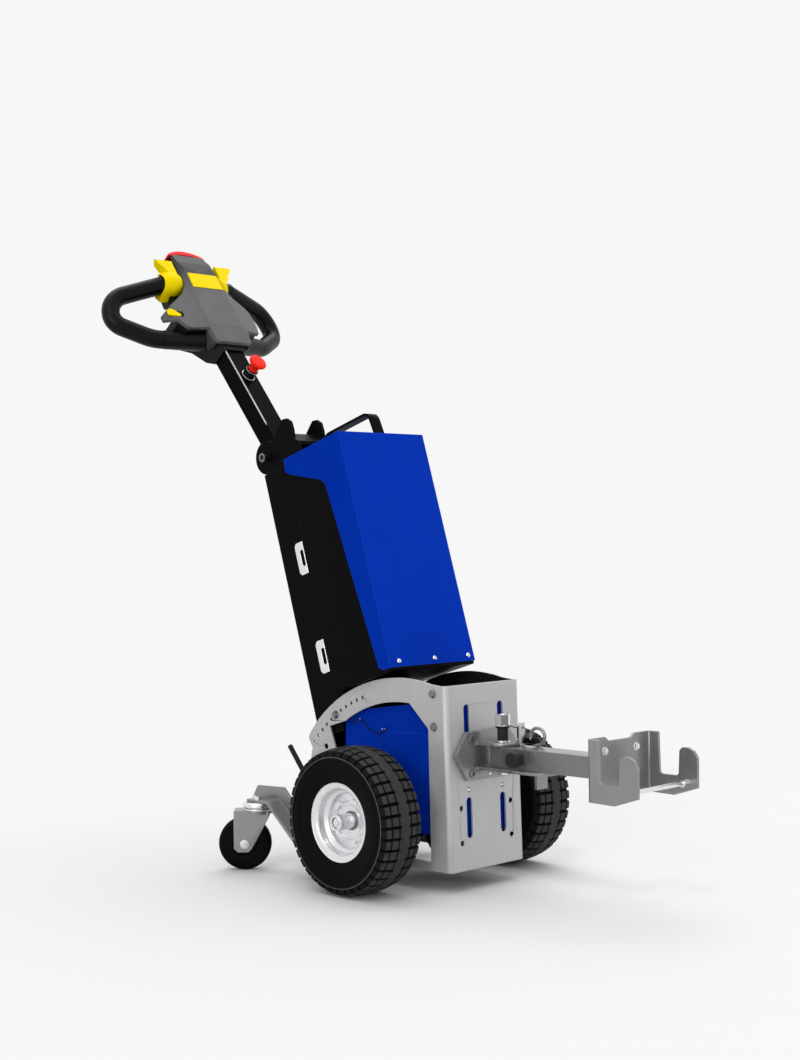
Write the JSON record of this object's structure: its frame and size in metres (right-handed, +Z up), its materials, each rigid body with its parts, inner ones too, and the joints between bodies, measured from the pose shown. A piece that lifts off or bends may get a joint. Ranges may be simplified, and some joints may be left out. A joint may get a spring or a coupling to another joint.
{
  "type": "walk-behind electric tug with tiller",
  "caption": "Pedestrian electric tug: two treaded drive tyres, rear castors, leaning battery column with blue cover, folding tiller head and notched towing fork.",
  "frame": {"origin": "floor level under the middle of the bounding box", "axes": "+X to the front, where the towing fork is; +Y to the machine's left; +Z up"},
  "size_m": [1.2953, 0.4918, 1.2452],
  "materials": {
    "zinc_sheet": "satin",
    "zinc_bright": "satin",
    "axle_steel": "satin",
    "rim_steel": "satin",
    "blue_powder": "satin",
    "black_powder": "satin",
    "black_satin": "satin",
    "black_plastic": "matte",
    "grey_plastic": "matte",
    "yellow_plastic": "satin",
    "red_plastic": "gloss",
    "grip_rubber": "matte",
    "tyre_rubber": "matte",
    "castor_rubber": "satin"
  },
  "bodies": {
    "chassis": {"frame_plate": "zinc_sheet", "motor_cover": "blue_powder", "transaxle": "black_satin", "column": "black_powder", "battery_case": "black_powder", "box_cover": "blue_powder", "carry_handle": "black_powder", "keeper_plates": "zinc_bright", "index_bolts": "zinc_bright", "side_screws": "zinc_bright", "key_switch": "black_plastic", "charge_socket": "black_plastic", "tiller_bracket": "black_powder", "hinge_pin": "zinc_bright", "castor_beam": "zinc_sheet", "castor_arm_right": "zinc_sheet", "castor_arm_left": "zinc_sheet", "castor_head_right": "zinc_bright", "castor_head_left": "zinc_bright", "release_lever": "black_plastic", "hitch_flange": "zinc_sheet", "hitch_pin": "zinc_bright"},
    "wheel_right": {"rim_right": "rim_steel", "tyre_right": "tyre_rubber", "hub_right": "rim_steel", "drive_shaft_right": "axle_steel"},
    "wheel_left": {"rim_left": "rim_steel", "tyre_left": "tyre_rubber", "hub_left": "rim_steel", "drive_shaft_left": "axle_steel"},
    "castor_swivel_right": {"castor_fork_right": "zinc_sheet"},
    "castor_swivel_left": {"castor_fork_left": "zinc_sheet"},
    "castor_roller_right": {"castor_wheel_right": "castor_rubber"},
    "castor_roller_left": {"castor_wheel_left": "castor_rubber"},
    "tow_fork": {"tow_bar": "zinc_sheet", "bar_knob": "black_plastic", "fork_bracket": "zinc_sheet", "cross_rod": "zinc_bright"},
    "tiller": {"tiller_arm": "black_powder", "stop_collar": "zinc_bright", "stop_button": "red_plastic", "head_housing": "black_plastic", "head_cover": "grey_plastic", "grip_right": "grip_rubber", "grip_left": "grip_rubber", "paddle_right": "yellow_plastic", "paddle_left": "yellow_plastic", "horn_pad": "yellow_plastic", "belly_button": "red_plastic", "slider": "yellow_plastic"}
  },
  "joints": [
    {"name": "wheel_right_spin", "type": "hinge", "parent": "chassis", "child": "wheel_right", "pos_m": [0.11314, -0.2006, 0.13], "axis": [0, 1, 0], "continuous": true},
    {"name": "wheel_left_spin", "type": "hinge", "parent": "chassis", "child": "wheel_left", "pos_m": [0.11314, 0.2006, 0.13], "axis": [0, 1, 0], "continuous": true},
    {"name": "castor_right_swivel", "type": "hinge", "parent": "chassis", "child": "castor_swivel_right", "pos_m": [-0.18886, -0.166, 0.112], "axis": [0, 0, 1], "continuous": true},
    {"name": "castor_left_swivel", "type": "hinge", "parent": "chassis", "child": "castor_swivel_left", "pos_m": [-0.18886, 0.166, 0.112], "axis": [0, 0, 1], "continuous": true},
    {"name": "castor_right_roll", "type": "hinge", "parent": "castor_swivel_right", "child": "castor_roller_right", "pos_m": [-0.20654, -0.18368, 0.05], "axis": [-0.7071, 0.7071, 0], "continuous": true},
    {"name": "castor_left_roll", "type": "hinge", "parent": "castor_swivel_left", "child": "castor_roller_left", "pos_m": [-0.20654, 0.18368, 0.05], "axis": [0.7071, 0.7071, 0], "continuous": true},
    {"name": "tow_fork_swing", "type": "hinge", "parent": "chassis", "child": "tow_fork", "pos_m": [0.28714, 0, 0.238], "axis": [0, 0, 1], "range_deg": [-30, 30]},
    {"name": "tiller_fold", "type": "hinge", "parent": "chassis", "child": "tiller", "pos_m": [-0.29636, 0, 0.788], "axis": [0, -1, 0], "range_deg": [0, 55]}
  ]
}
